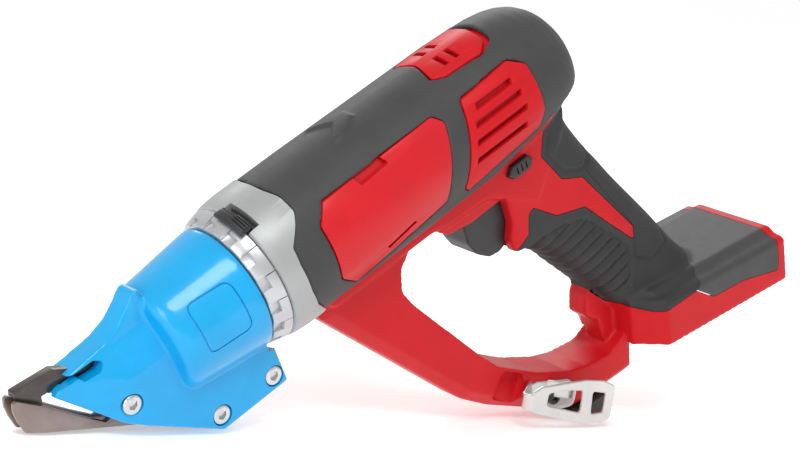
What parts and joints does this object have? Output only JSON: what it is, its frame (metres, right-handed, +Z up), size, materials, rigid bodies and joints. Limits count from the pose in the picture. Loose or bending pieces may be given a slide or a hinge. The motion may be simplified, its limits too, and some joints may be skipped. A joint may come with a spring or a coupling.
{
  "type": "cordless double-cut metal shear",
  "caption": "Pistol-grip cordless sheet-metal shear with a swivelling jaw head, full hand guard, side belt clip and a foot for a slide-on battery.",
  "frame": {"origin": "centre of the bounding box's footprint, on the surface the tool stands on", "axes": "+X from the blades towards the battery foot, +Y towards the tool's right side, +Z up as it stands on its blades and guard bumper"},
  "size_m": [0.4578, 0.072, 0.204],
  "materials": {
    "red_plastic": "semi-gloss moulded",
    "dark_rubber": "matt fine texture",
    "grey_plastic": "matt fine texture",
    "blue_paint": "gloss paint on a casting",
    "grey_paint": "satin cast finish",
    "collar_metal": "satin",
    "blade_steel": "ground tool steel",
    "dark_steel": "dark ground tool steel",
    "bright_steel": "satin",
    "gear_steel": "cut gear steel",
    "black_screw": "black oxide",
    "black_plastic": "matt",
    "motor_iron": "laminated iron",
    "copper": "bare copper alloy"
  },
  "bodies": {
    "housing": {"left_housing": "red_plastic", "right_housing": "red_plastic", "left_barrel_skin": "dark_rubber", "right_barrel_skin": "dark_rubber", "left_handle_grip": "dark_rubber", "right_handle_grip": "dark_rubber", "left_foot_cover": "grey_plastic", "right_foot_cover": "grey_plastic", "left_badge_panel": "red_plastic", "right_badge_panel": "red_plastic", "left_vent_panel": "red_plastic", "right_vent_panel": "red_plastic", "top_vent": "red_plastic", "housing_screw_1": "black_screw", "housing_screw_2": "black_screw", "housing_screw_3": "black_screw", "housing_screw_4": "black_screw", "housing_screw_5": "black_screw", "gear_case": "grey_paint", "crank_bearing": "bright_steel", "gear_plate": "collar_metal", "motor_plate": "collar_metal", "front_motor_bearing": "bright_steel", "motor_can": "motor_iron", "brush_holder": "black_plastic", "rear_motor_bearing": "bright_steel", "switch_body": "black_plastic", "terminal_block": "black_plastic", "positive_contact": "copper", "negative_contact": "copper", "belt_clip": "bright_steel", "clip_screw": "black_screw", "guard_bumper": "dark_rubber"},
    "swivel_head": {"head_casting": "blue_paint", "index_ring": "collar_metal", "left_side_blade": "blade_steel", "right_side_blade": "blade_steel", "blade_spacer": "blade_steel", "pivot_pin": "bright_steel", "blade_screw_1": "bright_steel", "blade_screw_2": "bright_steel", "blade_screw_3": "bright_steel", "blade_nut_1": "bright_steel", "blade_nut_2": "bright_steel", "blade_nut_3": "bright_steel"},
    "moving_blade": {"centre_blade": "dark_steel"},
    "rotor": {"motor_shaft": "bright_steel", "motor_pinion": "gear_steel", "armature": "motor_iron", "commutator": "copper", "cooling_fan": "black_plastic"},
    "layshaft": {"lay_shaft": "bright_steel", "lay_pinion": "gear_steel", "lay_gear": "gear_steel"},
    "crank": {"crank_shaft": "bright_steel", "crank_gear": "gear_steel", "eccentric_bearing": "bright_steel"},
    "head_lock": {"lock_lever": "black_plastic"},
    "trigger": {"trigger": "black_plastic"},
    "lock_button": {"lock_button": "black_plastic"}
  },
  "joints": [
    {"name": "head_swivel", "type": "hinge", "parent": "housing", "child": "swivel_head", "pos_m": [-0.12672, 0, 0.06245], "axis": [0.807, 0, 0.5906], "continuous": true},
    {"name": "centre_blade_rock", "type": "hinge", "parent": "swivel_head", "child": "moving_blade", "pos_m": [-0.17061, 0, 0.03776], "axis": [0, 1, 0], "range_deg": [0, 6]},
    {"name": "motor_spin", "type": "hinge", "parent": "housing", "child": "rotor", "pos_m": [-0.12672, 0, 0.06245], "axis": [0.807, 0, 0.5906], "continuous": true},
    {"name": "layshaft_spin", "type": "hinge", "parent": "housing", "child": "layshaft", "pos_m": [-0.11786, 0, 0.05035], "axis": [0.807, 0, 0.5906], "continuous": true},
    {"name": "crank_spin", "type": "hinge", "parent": "housing", "child": "crank", "pos_m": [-0.12672, 0, 0.06245], "axis": [0.807, 0, 0.5906], "continuous": true},
    {"name": "head_lock_slide", "type": "slide", "parent": "housing", "child": "head_lock", "axis": [0.807, 0, 0.5906], "range_m": [0, 0.0035], "stiffness_N_per_m": 300},
    {"name": "trigger_pull", "type": "slide", "parent": "housing", "child": "trigger", "axis": [0.807, 0, 0.5906], "range_m": [0, 0.007], "stiffness_N_per_m": 400},
    {"name": "lock_button_push", "type": "slide", "parent": "housing", "child": "lock_button", "axis": [0, 1, 0], "range_m": [-0.003, 0.003]}
  ],
  "couplings": [
    {"joint": "layshaft_spin", "follows": "motor_spin", "ratio": -0.25},
    {"joint": "crank_spin", "follows": "motor_spin", "ratio": 0.078947}
  ]
}
